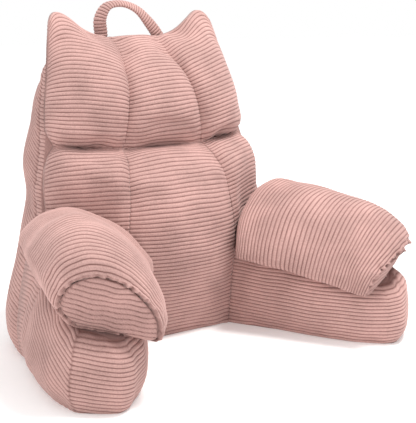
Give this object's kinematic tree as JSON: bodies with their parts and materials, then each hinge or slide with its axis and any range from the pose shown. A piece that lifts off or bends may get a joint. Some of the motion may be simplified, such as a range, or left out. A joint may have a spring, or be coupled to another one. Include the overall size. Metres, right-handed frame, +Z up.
{
  "type": "reading pillow with arms",
  "caption": "Upright filled back rest with winged head pad, channelled lumbar pad, two splayed padded arms and a strap handle, in wide-ribbed cloth.",
  "frame": {"origin": "on the floor, under the middle of the back body", "axes": "+Z up, -Y the way the pillow faces (the arms reach that way), +X the sitter's left, across the plane of symmetry"},
  "size_m": [0.8177, 0.6065, 0.6884],
  "materials": {
    "pad_cloth": "matt wide-wale corduroy pile, dusty pink",
    "side_cloth": "matt wide-wale corduroy pile, dusty pink"
  },
  "bodies": {
    "root": {"back_body": "side_cloth", "head_pad": "pad_cloth", "lumbar_pad": "pad_cloth", "arm_base_left": "side_cloth", "arm_base_right": "side_cloth", "armrest_left": "pad_cloth", "armrest_right": "pad_cloth", "end_panel_left": "side_cloth", "end_panel_right": "side_cloth", "handle": "pad_cloth"}
  },
  "joints": []
}
